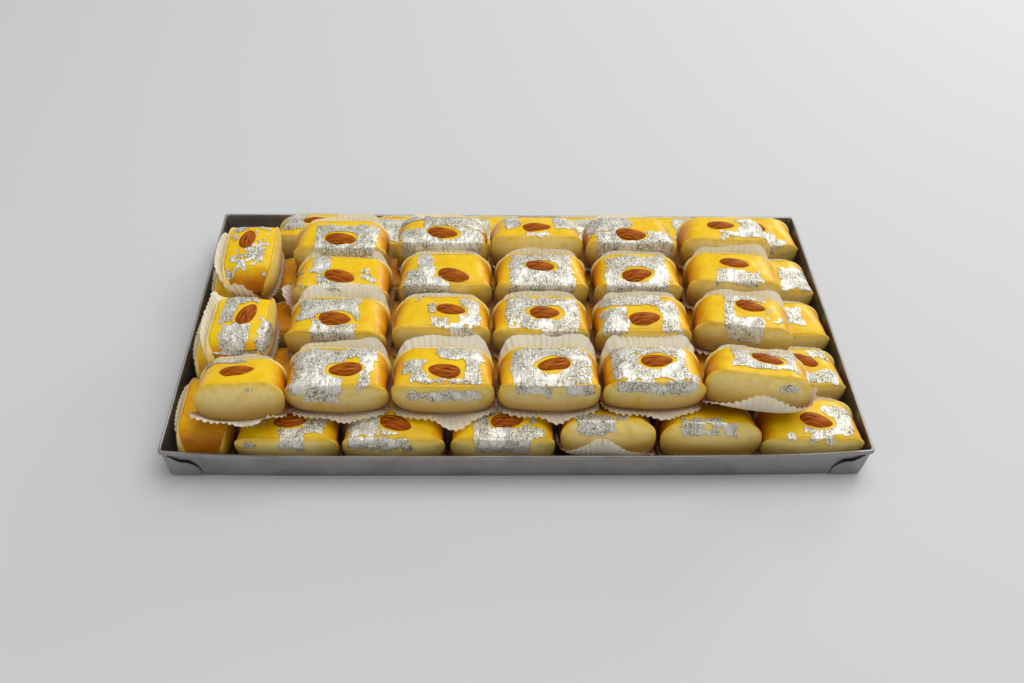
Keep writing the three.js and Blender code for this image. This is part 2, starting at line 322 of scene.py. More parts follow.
wave = add_node(silver_leaf, "Bump", {"Strength": 0.9, "Distance": 2.2 * MM}, {"Height": zones})
tilt = add_node(
    silver_leaf, "Bump", {"Strength": 0.8, "Distance": 0.5 * MM}, {"Height": specks, "Normal": wave}
)
crumple = add_node(
    silver_leaf, "Bump", {"Strength": 0.8, "Distance": 0.6 * MM}, {"Height": creases, "Normal": tilt}
)
pressed = add_node(silver_leaf, "MapRange", {"To Min": 0.34, "To Max": 0.52}, {"Value": crackled})
leaf_shader = add_node(
    silver_leaf, "BsdfPrincipled", {"Metallic": 0.5},
    {"Base Color": metal_colour.outputs[2], "Normal": crumple, "Roughness": pressed}
)
add_node(silver_leaf, "OutputMaterial", {}, {"Surface": leaf_shader})
print("leaf plates", LEAF_PLATE, "mm, creases every", CREASE[0], "mm")

# %% [markdown]
# ## Almond skin
# The almonds are whole, with their dry papery skin on. It is reddish brown and wrinkled lengthwise.
# Its colour follows the wrinkles: darker in the furrows, as painted shade, and paler on the ridges.
# The mesh carries two lengths for each point, along the nut and round it, so that the furrows run
# the long way however the almond is turned.

# %% Almond skin material
FURROW = 0.9
FURROW_RUN = 9.0

almond_skin, _ = new_material("almond skin")
unrolled = add_node(almond_skin, "Attribute", {"attribute_name": "unrolled"})
stretch = add_node(
    almond_skin, "VectorMath",
    {"operation": "MULTIPLY", 1: (per_metre(FURROW_RUN), per_metre(FURROW), 1.0)},
    {0: unrolled.outputs["Vector"]}
)
furrows = add_node(
    almond_skin, "TexNoise", {"Scale": 1.0, "Detail": 3.0, "Roughness": 0.6}, {"Vector": stretch}
)
# Painted shade: the same wrinkles darken the colour in the furrows and pale it on the ridges
brown_with_furrow_shade = add_node(almond_skin, "ValToRGB", {}, {"Fac": furrows})
set_ramp(brown_with_furrow_shade, [(0.3, "#3C1202"), (0.42, "#863902"), (0.56, "#B25C05"), (0.72, "#DE9032")])
wrinkle = add_node(almond_skin, "Bump", {"Strength": 0.6, "Distance": 0.35 * MM}, {"Height": furrows})
nut_shader = add_node(
    almond_skin, "BsdfPrincipled", {"IOR": 1.47, "Roughness": 0.52, "Specular IOR Level": 0.1},
    {"Base Color": brown_with_furrow_shade, "Normal": wrinkle}
)
add_node(almond_skin, "OutputMaterial", {}, {"Surface": nut_shader})
print("furrows every", FURROW, "mm")

# %% [markdown]
# ## Greaseproof paper
# The cases are thin bleached greaseproof paper. A third of the light that meets it goes through
# and spreads, so a fan in front of the window glows, and a case takes a warm tint from the sweet
# behind it. A Translucent shader is just that, and it is mixed with a matt one for the light that
# the fibres throw back. Butter has soaked in here and there, which leaves a slightly deeper tone.
# Low down at the ends and behind, the paper is tinted a deep orange, partly the saffron syrup it
# stood in and partly painted shade, as it lies between the sweets there. The mesh says how far
# that tint reaches.

# %% Paper material
GREASE_SPOT = 8.0
FIBRE = 0.8
THROUGH = 0.3

case_paper, place = new_material("greaseproof paper")
grease = add_node(
    case_paper, "TexNoise", {"Scale": per_metre(GREASE_SPOT), "Detail": 3.0, "Roughness": 0.6},
    {"Vector": place}
)
paper_tone = add_node(case_paper, "ValToRGB", {}, {"Fac": grease})
set_ramp(paper_tone, [(0.3, "#FBF3D6"), (0.5, "#FFFAE8"), (0.75, "#FFFDF2")])
# Syrup stain and painted shade: low on the case, away from its front, the paper turns deep orange
syrup = add_node(case_paper, "Attribute", {"attribute_name": "syrup"})
paper_colour = add_node(
    case_paper, "Mix", {"data_type": "RGBA", 7: linear("#BC7A14")},
    {0: syrup.outputs["Fac"], 6: paper_tone}
)
fibres = add_node(case_paper, "TexNoise", {"Scale": per_metre(FIBRE), "Detail": 3.0}, {"Vector": place})
tooth = add_node(case_paper, "Bump", {"Strength": 0.15, "Distance": 0.1 * MM}, {"Height": fibres})
paper_shader = add_node(
    case_paper, "BsdfPrincipled", {"Roughness": 0.7, "Specular IOR Level": 0.25},
    {"Base Color": paper_colour.outputs[2], "Normal": tooth}
)
glow = add_node(case_paper, "BsdfTranslucent", {}, {"Color": paper_colour.outputs[2]})
sheet = add_node(case_paper, "MixShader", {0: THROUGH}, {1: paper_shader, 2: glow})
add_node(case_paper, "OutputMaterial", {}, {"Surface": sheet})
print("grease spots about", GREASE_SPOT, "mm wide")

# %% [markdown]
# ## Stainless steel
# The tray is rolled stainless sheet, folded by hand. It is a satin metal: soft streaks from the
# rolls run along it, and handling has left smudges and small scuffs, which show as changes in
# roughness more than in colour.

# %% Steel material
ROLL_STREAK = 1.6
STREAK_RUN = 60.0
SMUDGE = 28.0

stainless, place = new_material("stainless steel")
drawn = add_node(
    stainless, "VectorMath",
    {"operation": "MULTIPLY", 1: [per_metre(size) for size in (STREAK_RUN, STREAK_RUN, ROLL_STREAK)]},
    {0: place}
)
streaks = add_node(
    stainless, "TexNoise", {"Scale": 1.0, "Detail": 4.0, "Roughness": 0.65}, {"Vector": drawn}
)
smudges = add_node(
    stainless, "TexNoise", {"Scale": per_metre(SMUDGE), "Detail": 4.0, "Roughness": 0.6},
    {"Vector": place}
)
steel_tone = add_node(stainless, "ValToRGB", {}, {"Fac": smudges})
set_ramp(steel_tone, [(0.3, "#949291"), (0.55, "#A8A6A5"), (0.8, "#9C9A98")])
handled = add_node(stainless, "MapRange", {"To Min": 0.36, "To Max": 0.56}, {"Value": smudges})
satin = add_node(stainless, "Bump", {"Strength": 0.12, "Distance": 0.1 * MM}, {"Height": streaks})
steel_shader = add_node(
    stainless, "BsdfPrincipled", {"Metallic": 1.0},
    {"Base Color": steel_tone, "Normal": satin, "Roughness": handled}
)
add_node(stainless, "OutputMaterial", {}, {"Surface": steel_shader})
print("rolling streaks every", ROLL_STREAK, "mm")

# %% [markdown]
# ## The table of sweets
# These are the CAD model's own numbers, repeated because a scene can read only the imported frame.
# x and y are the middle of the sweet in the tray, turn is seen from above and tip leans it back. To
# them each sweet adds what only the eye sees: how round its halves are, where its almond points,
# and which patches of leaf stayed on. A patch is (left, front, right, back) in millimetres from the
# middle of the top, where -16 is the front edge of the cut and anything below it hangs down the
# front. A fifth number below 1 makes the patch speckled. nose is how round the front half's edge is,
# round shapes it like the plump back half, and soaked is saffron all over, together with deeper
# painted shade on its curd and malai. The rest is the case: flare in front, the fan's height above
# the back half and its lean, and an apron that sags in front. A frill is a place where the case
# stands away: its angle, its spread in degrees, how much higher it is, and how far it leans out.

# %% Sweets of the upper layer
PLAIN = {
    "length": 62, "width": 38, "height": 28, "turn": 0, "tip": 0, "flare": 1.6, "lean": 4.5,
    "fan": -1.0, "apron": 0.0, "round": False, "nose": 3.0, "soaked": 0.0,
    "almond": None, "leaf": [], "frills": [], "shown": True,
}
UPPER = {
    "a0": dict(x=-166, y=-90.5, turn=4, tip=18, length=53, lean=1.2, fan=0.6, nose=7, apron=6,
        almond=(0, -3, 8), leaf=[(-22, 10, 2, 15, 0.8), (4, -22, 10, -18, 0.5)],
        frills=[(214, 18, 6, 4.5), (300, 14, 3, 2)]),
    "a1": dict(x=-110, y=-80, fan=-0.4, nose=5, apron=2, almond=(5, -4, 186),
        leaf=[(-26, -22, 5, 14), (-18, -28, 3, -20), (4, 7, 23, 16), (15, -16, 21, 8)],
        frills=[(48, 22, 4, 2.5)]),
    "a2": dict(x=-46, y=-80, lean=12, fan=-1.6, nose=1.6, apron=7.5, almond=(0, -5, 170),
        leaf=[(-24, -7, -9, 4), (-19, -14, -9, -4), (-3, 5, 24, 15), (13, -15, 22, 15),
        (-20, -25, 23, -18.5), (-10, -14, 14, -11, 0.8)]),
    "a3": dict(x=18, y=-79, flare=1.2, lean=12, fan=-1.8, nose=1.6, apron=3, almond=(2, -1, 192),
        leaf=[(-23, -16, 25, 15), (-20, -21, -3, -15), (10, -22, 26, -15),
        (-3, -25, 0, -19)]),
    "a4": dict(x=81.5, y=-78.5, tip=3, flare=1.2, lean=11.5, fan=-1.4, nose=6, apron=2.5,
        almond=(2.5, 0.5, 6), leaf=[(-25, -14, 19, 15), (-24, -23, 24, -16), (16, -14, 27, -10)]),
    "a5": dict(x=145, y=-82, turn=-10, tip=17, length=63, nose=6, almond=(5, 1, -14),
        leaf=[(-16, -10, 22, 14, 0.9), (13, -24, 24, -20, 0.8)],
        frills=[(276, 34, 13, 2.5), (-5, 30, 13, 3.5)]),
    "b0": dict(x=-174, y=-37.5, turn=88, length=59, width=40, nose=6.5, round=True, flare=0.4, lean=3.5,
        fan=1.5, almond=(3.5, -4, -16),
        leaf=[(12, -8, 27, 9), (-6, 3, 20, 12), (-24, -7, -7, 9, 0.85), (-26, -24, 0, -13)],
        frills=[(16, 34, 13, 3), (180, 30, 8, 1)]),
    "b1": dict(x=-114, y=-33, turn=-2, length=64, nose=5, fan=1.2, lean=8, almond=(0, -5.5, -6),
        leaf=[(-25, -7, 14, 14, 0.95), (-14, -23, 13, -7)],
        frills=[(62, 30, 2.5, 1)]),
    "b2": dict(x=-48.2, y=-32, tip=5, nose=3, fan=-2.5, almond=(7, -1, -14),
        leaf=[(-16, 9, -12, 16), (12, -15, 25, 12), (6, -24, 20, -15, 0.9),
        (-6, -16, 4, -9, 0.7), (-9, -4, -4, 4, 0.7)]),
    "b3": dict(x=15, y=-31, nose=1.8, fan=-1.6, almond=(3, -2, -4),
        leaf=[(-22, -15, -17, 14), (-17, -15, -13, -7), (-17, -3, -13, 14),
        (-13, -15, 24, 14), (0, -26, 23, -15)]),
    "b4": dict(x=80, y=-31, nose=3, fan=-1.2, almond=(1, -6.5, 8),
        leaf=[(-27, -18, -10, 3, 0.9), (-27, 6, 12, 16), (11, -17, 22, 12)]),
    "b5": dict(x=145, y=-31, turn=-8, tip=6, nose=5, almond=(4.5, 2.5, -14),
        leaf=[(-13, 6, 14, 15), (-13, -14, -6, 6), (-12, -26, 12, -10),
        (14, -12, 25, -2, 0.6)], fan=-1, frills=[(48, 26, 4, 1)]),
    "c0": dict(x=-179, y=36, turn=92, nose=6.5, round=True, flare=0.4, fan=-3, almond=(6.5, 2, -6),
        leaf=[(-26, -12, 28, 13, 0.56), (-14, -10, -4, 2, 0.9)],
        frills=[(166, 34, 21, 2.5)]),
    "c1": dict(x=-115, y=9, turn=-2, length=64, lean=6, nose=4, fan=-0.6, almond=(0, -6, -14),
        leaf=[(-21, -4, -8, 16), (-27, -16, -13, 4, 0.5), (-14, -26, 4, -6, 0.85),
        (12, -12, 24, 2, 0.62)], frills=[(188, 34, 13, 6)]),
    "c2": dict(x=-47, y=13, nose=1.8, fan=-2.5, almond=(6, -8, -14),
        leaf=[(-27, -26, -6, -2), (-18, -4, -8, 15), (-8, -26, 3, -10)]),
    "c3": dict(x=17, y=13.5, fan=-1.8, nose=1.8, almond=(0, 0, -6), leaf=[(-21, -24, 21, 14)]),
    "c4": dict(x=81, y=13, length=59, nose=3, fan=-1.8, almond=(0, -7, 10), leaf=[(-21, -24, 20, 13)]),
    "c5": dict(x=146, y=14, turn=-3, tip=4, nose=4, fan=1.6, lean=3.2, almond=(1, 1.5, -6),
        leaf=[(-12, -17, 16, -6, 0.9)], frills=[(50, 25, 3, 1)]),
    "d1": dict(x=-119, y=48.5, tip=4, length=64, flare=1.2, nose=4, almond=(1, -8, -6),
        fan=-1.5, leaf=[(-18, -26, 25, 8)], frills=[(60, 30, 4, 1)]),
    "d2": dict(x=-50, y=54, tip=5, fan=-2, length=63, nose=1.8, almond=(1, -7, -8),
        leaf=[(-28, -28, 27, -1), (-12, 0, 28, 14), (-28, 9, -8, 16)]),
    "d3": dict(x=15, y=54.2, tip=13, fan=-3.2, length=63, nose=2.5, almond=(1, -5, 2),
        leaf=[(-21, -6, -12, 13), (12, -6, 27, 12), (-6, -15, 8, -7)]),
    "d4": dict(x=80, y=54, tip=7, fan=-2.5, length=63, nose=3, almond=(0, -9, -5),
        leaf=[(-29, -6, 1, 15), (-24, -28, 28, -6)]),
    "d5": dict(x=147, y=55, turn=-2, tip=9, fan=-3, nose=4, almond=(-2, 0, 2),
        leaf=[(8, -14, 30, 12), (-4, -16, 8, -8, 0.8)]),
}
print(len(UPPER), "sweets on top")

# %% Sweets of the lower layer
SNUG = {"flare": 0.4, "lean": 1.2, "fan": -1.0}
LOWER_ROWS = {"e": -96.4, "f": -50, "g": -4, "h": 43, "i": 93}
LOWER_X = [-140 + 64 * column for column in range(6)]
LEFT_X = -190.5
LEFT_Y = {"e": -83.5, "f": -21, "g": 43}
LOWER_SHOWN = {
    "e0": dict(width=35, nose=8, round=True, soaked=1.3),
    "e1": dict(almond=(1, -3, 192), nose=3,
        leaf=[(-8, 3, 18, 16), (9, -13, 23, 8), (-4, -22, 11, -9), (-24, -21, -17, -17),
        (-22, -6, -12, 1, 0.5)], frills=[(160, 24, 9, 1)]),
    "e2": dict(almond=(2, -5, -18), nose=3,
        leaf=[(-27, -14, -8, 14), (-8, -14, 10, -6), (-27, -22, 10, -14)]),
    "e3": dict(x=-10, length=64, almond=(3.5, -3, 5), nose=2.5,
        leaf=[(-18, -24, 16, 14), (14, -14, 25, -8, 0.7), (15, -6, 21, 10)],
        frills=[(235, 24, 8, 0.4)]),
    "e4": dict(x=54, y=-97.2, length=58, width=34, height=25, tip=30, nose=6,
        leaf=[(-20, -24, 4, -8), (4, -18, 12, -9, 0.8)], frills=[(262, 24, 11, 0.3), (190, 22, 12, 1.5)]),
    "e5": dict(x=117, y=-97, width=34, height=26, tip=24, nose=7,
        leaf=[(-19, -24, 8, -10, 0.75), (5, -25, 14, -16)]),
    "e6": dict(x=179.5, length=63, almond=(3, -3, -18), nose=4,
        leaf=[(8, -14, 24, 8), (-18, -17, -13, -13), (-6, -17, 12, -9, 0.72)]),
    "f0": dict(width=36),
    "g0": dict(width=36),
    "f6": dict(almond=(6, 3, -20), leaf=[(-20, -12, 2, 14), (0, -16, 24, -6), (10, 5, 22, 14)]),
    "g6": dict(leaf=[(-2, -6, 14, 10, 0.8)]),
    "h6": dict(leaf=[(8, -16, 28, 6)]),
    "i1": dict(x=-143, y=94.5, tip=10, almond=(0, 2, 6), leaf=[(-24, -10, -8, 14)]),
    "i2": dict(x=-78, leaf=[(-20, -14, 16, 12)]),
    "i3": dict(x=-13, leaf=[(-26, -12, -4, 14), (10, -14, 26, 4, 0.8)]),
    "i4": dict(leaf=[(-22, -14, 8, 12)]),
    "i5": dict(leaf=[(-27, -16, -12, 8), (4, -12, 24, 14, 0.8)]),
    "i6": dict(almond=(0, 4, -30), leaf=[(0, -22, 12, 4), (14, -16, 22, -12)]),
}

sweets = {}
for code, own in UPPER.items():
    sweets["upper_" + code] = {**PLAIN, **own}
for row, y in LOWER_ROWS.items():
    for column, x in enumerate(LOWER_X, start=1):
        own = LOWER_SHOWN.get(f"{row}{column}")
        plain = {**PLAIN, **SNUG, "x": x, "y": y, "shown": own is not None}
        sweets[f"lower_{row}{column}"] = {**plain, **(own or {})}
for row, y in LEFT_Y.items():
    plain = {**PLAIN, **SNUG, "x": LEFT_X, "y": y, "turn": 90}
    sweets[f"lower_{row}0"] = {**plain, **LOWER_SHOWN[row + "0"]}
print(len(sweets), "sweets, of which", sum(s["shown"] for s in sweets.values()), "show")

# %% [markdown]
# ## Shapes from rows of points
# Every soft shape here is a grid of points: rings one above the other, or rows across a sheet. Numpy
# works out a whole grid at once, which keeps the script quick. The lumps of handmade food come from
# smooth noise, made from a seeded table of random numbers, so each run gives the same tray.

# %% Noise and grids


def smooth_noise(u, v, size, seed):
    """Smooth random values from -1 to 1, with lumps of about the given size, over u and v"""
    table = np.random.default_rng(seed).uniform(-1, 1, (64, 64))
    x, y = u / size + 31.7, v / size + 31.3
    i, j = np.floor(x).astype(int), np.floor(y).astype(int)
    s, t = x - i, y - j
    s, t = s * s * (3 - 2 * s), t * t * (3 - 2 * t)
    corner = [table[(i + a) % 64, (j + b) % 64] for a, b in ((0, 0), (1, 0), (0, 1), (1, 1))]
    near = corner[0] * (1 - s) + corner[1] * s
    far = corner[2] * (1 - s) + corner[3] * s
    return near * (1 - t) + far * t


def rough_noise(u, v, size, seed):
    """Three sizes of smooth noise on top of each other"""
    layers = [smooth_noise(u, v, size / 2**k, seed + k) / 2**k for k in range(3)]
    return sum(layers) / 1.75


def lumps(points, size, seed):
    """Noise at points in space, from two flat slices of it"""
    x, y, z = points.T
    return (smooth_noise(x + 0.7 * z, y, size, seed) + smooth_noise(z, x - 0.6 * y, size, seed + 9)) / 2


def smoothstep(t):
    t = np.clip(t, 0, 1)
    return t * t * (3 - 2 * t)


def grid_faces(rows, columns, closed):
    """Four-sided faces between neighbouring rows. A closed grid also joins its last column to the first"""
    across = columns if closed else columns - 1
    i, j = np.meshgrid(np.arange(rows - 1), np.arange(across), indexing="ij")
    here, beside = i * columns + j, i * columns + (j + 1) % columns
    return np.stack([here, beside, beside + columns, here + columns], -1).reshape(-1, 4).tolist()


def closed_shape(rings):
    """Points and faces of a body from its rings, with a fan of triangles on each end"""
    rows, columns = rings.shape[:2]
    faces = grid_faces(rows, columns, True)
    points = np.vstack([rings.reshape(-1, 3), rings[0].mean(0), rings[-1].mean(0)])
    under, over, last = rows * columns, rows * columns + 1, (rows - 1) * columns
    for j in range(columns):
        beside = (j + 1) % columns
        faces.append([under, beside, j])
        faces.append([over, last + j, last + beside])
    return points, faces


def point_normals(points, faces):
    """Outward direction at each point, the mean of the faces round it"""
    corners = np.array([face[:3] for face in faces])
    a, b, c = (points[corners[:, k]] for k in range(3))
    normal = np.cross(b - a, c - a)
    total = np.zeros_like(points)
    for k in range(max(len(face) for face in faces)):
        picked = [n for n, face in enumerate(faces) if len(face) > k]
        at = [faces[n][k] for n in picked]
        np.add.at(total, at, normal[picked])
    return total / np.maximum(np.linalg.norm(total, axis=1, keepdims=True), 1e-12)


# %% [markdown]
# ## From the sweet to the tray
# A sweet is shaped lying flat at the origin. Laying it down is what the CAD source does, in the same
# order: centre its height, stretch it, tip it, turn it, and set its lowest point on what carries it.

# %% Lay a sweet down
SWEET_HEIGHT = 28
CUT_HEIGHT = 26.6
FULLEST = 13
FOOT_SHARE = 0.66


def turned(points, sweet):
    """A sweet's points stretched, tipped back and turned about its middle"""
    x, y, z = points.T.copy()
    z = (z - SWEET_HEIGHT / 2) * sweet["height"] / SWEET_HEIGHT
    tip, turn = math.radians(sweet["tip"]), math.radians(sweet["turn"])
    y, z = y * math.cos(tip) + z * math.sin(tip), z * math.cos(tip) - y * math.sin(tip)
    x, y = x * math.cos(turn) - y * math.sin(turn), x * math.sin(turn) + y * math.cos(turn)
    return np.stack([x, y, z], -1)


def lay_down(points, node, sweet):
    """A sweet's points in millimetres where its CAD node lies"""
    heel = turned(np.array([[0.0, sweet["width"] / 2 * FOOT_SHARE, 0.0]]), sweet)[0, 2]
    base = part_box(node)[0].z / MM
    return turned(points, sweet) + [sweet["x"], sweet["y"], base - heel]


def make_piece(name, points, faces, material, nodes, attributes=(), crease=None):
    """A mesh object from points in the tray's millimetres, riding on the tray"""
    mesh = bpy.data.meshes.new(name)
    mesh.from_pydata((points * MM).tolist(), [], faces)
    mesh.polygons.foreach_set("use_smooth", [True] * len(mesh.polygons))
    if crease is not None:
        mesh.set_sharp_from_angle(angle=math.radians(crease))
    for key, values in dict(attributes).items():
        values = np.asarray(values, np.float32)
        kind = "FLOAT" if values.ndim == 1 else "FLOAT_VECTOR"
        layer = mesh.attributes.new(key, kind, "POINT")
        layer.data.foreach_set("value" if kind == "FLOAT" else "vector", values.ravel())
    mesh.materials.append(material)
    piece = bpy.data.objects.new(name, mesh)
    bpy.context.scene.collection.objects.link(piece)
    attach(piece, "root")
    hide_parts(*nodes)
    return piece


# %% [markdown]
# ## A half of chhena
# Each half is the outer slab of the split oblong: rounded outside, flat where the knife went, and
# opened at the top like a mouth. An oblong is lower at its ends, so the cut edge is an arch, which
# shows best on the back half, where it faces the eye. Stacked slices make a half. A slice is a D: the
# flat side is the cut and the bow is the outside. The higher the slice, the shorter it is, and at the
# top the bow rolls over to the cut edge, gently on a plump half and tightly on a sharp one. The back
# half is the same shape turned round, always plump, with its own lumps.

# %% Halves
CUT_EDGE = 0.84
CUT_FOOT = 4.2
BACK_NOSE = 5.5
PALE_BACK = 0.4
BACK_CORNER = (14.0, 12.5)


def share_along(z):
    low = 1 - 0.16 * (1 - np.minimum(z, FULLEST) / FULLEST) ** 2.4
    return low - 0.045 * (np.maximum(z - FULLEST, 0) / (CUT_HEIGHT - FULLEST)) ** 2


def share_across(z):
    low = 1 - (1 - FOOT_SHARE) * (1 - np.minimum(z, FULLEST) / FULLEST) ** 2.3
    return low - 0.07 * (np.maximum(z - FULLEST, 0) / (CUT_HEIGHT - FULLEST)) ** 2


def front_corner(sweet):
    """How far the front half is rounded at its ends: along it and down"""
    if sweet["round"]:
        return BACK_CORNER
    return 0.6 + 1.7 * sweet["nose"], 0.4 + 1.6 * sweet["nose"]


def lip_height(u, sweet, corner):
    """Height of a half's cut edge: level in the middle, rounded down at the ends"""
    along, down = corner
    past = np.clip((np.abs(u) - sweet["length"] / 2 + along) / along, 0, 1)
    return CUT_HEIGHT - down * (1 - np.sqrt(1 - past**2))


def reach_at(z, sweet, corner):
    """How far a half reaches to each side at a height"""
    along, down = corner
    up = np.clip((z - CUT_HEIGHT + down) / down, 0, 0.985)
    return sweet["length"] / 2 * share_along(z) - along * (1 - np.sqrt(1 - up**2))


def cut_place(z, sweet):
    """How far the cut face stands from the middle line at a height"""
    edge = sweet["width"] / 2 * CUT_EDGE
    opened = np.clip(z / CUT_HEIGHT, 0, 1) ** 1.25
    return CUT_FOOT + (edge - 0.4 - CUT_FOOT) * opened


def bow_shape(reach, inner, wide, nose, count):
    """The outside of a slice, from its left end round the front to its right end"""
    power = max(3.0 - 0.12 * nose, 2.1)
    bow = np.radians(np.linspace(180, 360, count))
    along = np.sign(np.cos(bow)) * np.abs(np.cos(bow)) ** (2 / power)
    out = np.abs(np.sin(bow)) ** (2 / power)
    return np.stack([reach * along, -inner - (wide - inner) * out], -1)


def half_shape(sweet, nose, corner, seed, fine):
    """Points, faces and saffron of the front half, lying with its cut towards +y"""
    edge = sweet["width"] / 2 * CUT_EDGE
    roll = 1.6 + 1.25 * nose
    start = CUT_HEIGHT + 0.2 - roll
    low = np.array([0.0, 0.35, 1.2, 2.6, 4.4, 6.6, 9.2, 12.0] if fine else [0.0, 1.6, 5.0, 10.0])
    middle = np.linspace(12.0, start, 6 if fine else 3)[1:]
    around = np.radians(np.linspace(0, 90, 10 if fine else 5)[1:])
    heights = np.concatenate([low, middle, start + roll * np.sin(around)])
    rolled = np.concatenate([np.ones(len(low) + len(middle)), np.cos(around)])
    outer = sweet["width"] / 2 * share_across(heights)
    lip = edge + 0.15
    outer = np.where(heights > start, lip + (outer - lip) * rolled, outer)
    tuck = np.where(heights < 1.2, 1 - 0.1 * (1 - heights / 1.2) ** 2, 1)
    cut = cut_place(heights, sweet)
    reach = reach_at(heights, sweet, corner) * tuck
    flat = np.linspace(-1, 1, 9 if fine else 5)
    rings = []
    for z, wide, inner, long in zip(heights, outer, cut, reach):
        bend = min(0.5 + 0.35 * nose, 0.3 * (wide - inner))
        bow = bow_shape(long, inner + bend, wide, nose, 38 if fine else 17)
        cut_line = np.stack([(bend - long) * flat, np.full(len(flat), -inner)], -1)
        corner_spot = np.array([long - 0.29 * bend, -inner - 0.29 * bend])
        ring = np.vstack([bow, corner_spot, cut_line, corner_spot * [-1, 1]])
        rings.append(np.column_stack([ring, np.full(len(ring), z)]))
    points, faces = closed_shape(np.array(rings))
    normals = point_normals(points, faces)
    push = 0.55 * lumps(points, 15, seed) + 0.22 * lumps(points, 6, seed + 3)
    points = points + normals * (push * np.clip(points[:, 2] / 3, 0, 1))[:, None]
    points[:, 2] = np.maximum(points[:, 2], 0)
    along, under = points[:, 0], lip_height(points[:, 0], sweet, corner) - points[:, 2]
    run = 6.0 + 4 * smooth_noise(along, along * 0, 11, seed + 5)
    run = run + 7 * np.clip(np.abs(along) / sweet["length"] * 2 - 0.55, 0, 1)
    below = np.hypot(np.maximum(under, 0), 0.7 * np.maximum(-points[:, 1] - edge, 0))
    drips = 1.3 * smooth_noise(along, under / 2, 15, seed + 6) - 0.32
    ends = 0.8 * smoothstep((np.abs(along) / sweet["length"] * 2 - 0.6) / 0.4) - 0.1
    reached = np.maximum(np.maximum(1 - below / run, drips), ends) + sweet["soaked"]
    return points, faces, np.clip(reached, 0, 1)


def turned_round(points):
    """The same shape seen from behind: half a turn about the upright line"""
    return points * [-1, -1, 1]


def joined(parts):
    """Several lists of points and faces as one"""
    points, faces, start = [], [], 0
    for own_points, own_faces in parts:
        points.append(own_points)
        faces += [[start + k for k in face] for face in own_faces]
        start += len(own_points)
    return np.vstack(points), faces


# %% [markdown]
# ## The malai
# The cream fills the mouth from end to end and stands a little proud of the cut edges, with a low rim
# where the almond pushed it up. It was smoothed flush with both halves, so its edges follow their
# arches, and at the ends it drops in one soft curve to an upright face. It is built from slices
# across the sweet, from one end to the other. A slice goes up the front cut face, over the crown and
# down the back cut face. Each point keeps a painted shade for the colour, from how low it lies and
# how near an end it is.

# %% Filling
END_GAP = 1.0
END_SINK = 2.8
CROWN_RISE = 1.8
LIP_DIP = 0.8
ALMOND_LENGTH = 23
ALMOND_WIDTH = 12.5
ALMOND_HEIGHT = 8
ALMOND_SUNK = 1.2


def beside_almond(u, v, sweet):
    """Distance from the almond's outline, below zero under it"""
    if not sweet["almond"]:
        return np.full(np.shape(u), 99.0)
    along, across, turn = sweet["almond"]
    c, s = math.cos(math.radians(turn)), math.sin(math.radians(turn))
    x = ((u - along) * c + (v - across) * s) / (ALMOND_LENGTH / 2)
    y = ((v - across) * c - (u - along) * s) / (ALMOND_WIDTH / 2)
    return (np.hypot(x, y) - 1) * ALMOND_WIDTH / 2 * (0.75 + 0.5 * np.abs(x) / (np.hypot(x, y) + 0.01))


def filling_shape(sweet, seed, fine):
    """Points, faces and painted shade of the malai, deeper low down and at its ends"""
    half = sweet["length"] / 2
    sharp = np.clip((4 - sweet["nose"]) / 2.4, 0, 1)
    climb = np.linspace(0, 1, 7 if fine else 3)[:-1]
    across = np.linspace(-1, 1, 25 if fine else 7)
    rings = []
    for share in np.sin(np.radians(np.linspace(-90, 90, 61 if fine else 11))):
        front = lip_height(half * share, sweet, front_corner(sweet))
        back = lip_height(half * share, sweet, BACK_CORNER)
        back_share = (across + 1) / 2
        y = -cut_place(front, sweet) * (1 - back_share) + cut_place(back, sweet) * back_share
        z = front * (1 - back_share) + back * back_share
        u = np.full(len(across), (half - END_GAP) * share)
        z = z + CROWN_RISE * (1 - np.abs(across) ** 2.2) * (1 - abs(share) ** 5)
        z = z - END_SINK * sweet["round"] * smoothstep((abs(share) - 0.72) / 0.28)
        z = z - LIP_DIP * sharp * smoothstep((-across - 0.8) / 0.17) * (1 - abs(share) ** 8)
        z = z + 0.55 * np.exp(-((beside_almond(u, y, sweet) / 1.7) ** 2)) * (1 - across**4)
        z = z + 0.4 * smooth_noise(u, y, 9, seed) + 0.15 * smooth_noise(u, y, 4, seed + 2)
        up, down = 1 + (front - 1) * climb, 1 + (back - 1) * climb[::-1]
        y = np.concatenate([-cut_place(up, sweet) - 0.25, y, cut_place(down, sweet) + 0.25])
        z = np.concatenate([up, z, down])
        x = (half - END_GAP) * share * share_along(z) / share_along(FULLEST)
        rings.append(np.stack([x, y, z], -1))
    points, faces = closed_shape(np.array(rings))
    faces = [face[::-1] for face in faces]
    # Painted shade for the colour: more the lower a point lies and near the ends
    side = np.clip((CUT_HEIGHT + 0.6 - points[:, 2]) / 17, 0, 1) ** 0.9
    side = side + 0.2 * smoothstep((np.abs(points[:, 0]) / half - 0.66) / 0.28)
    return points, faces, np.clip(0.06 + side, 0, 1)


# %% [markdown]
# ## The silver leaf
# Leaf is laid on last, so it follows whatever is under it: over the malai, round the cut edge and
# down the front. A ray is sent at the sweet from outside for each point of a fine grid, and the leaf
# lies where the ray lands. Where there is leaf and where it tore away is a number at each point,
# from the table's patches, ragged noise and a clear ring round the almond. The grid is then cut
# along the line where that number is zero, which gives torn edges instead of stairs.

# %% Leaf
LEAF_STEP = 0.75
LEAF_LIFT = 0.36
BEND_START = -13.0
BEND_END = -19.0
BEND_HEIGHT = 23.0
LOWEST_LEAF = 13


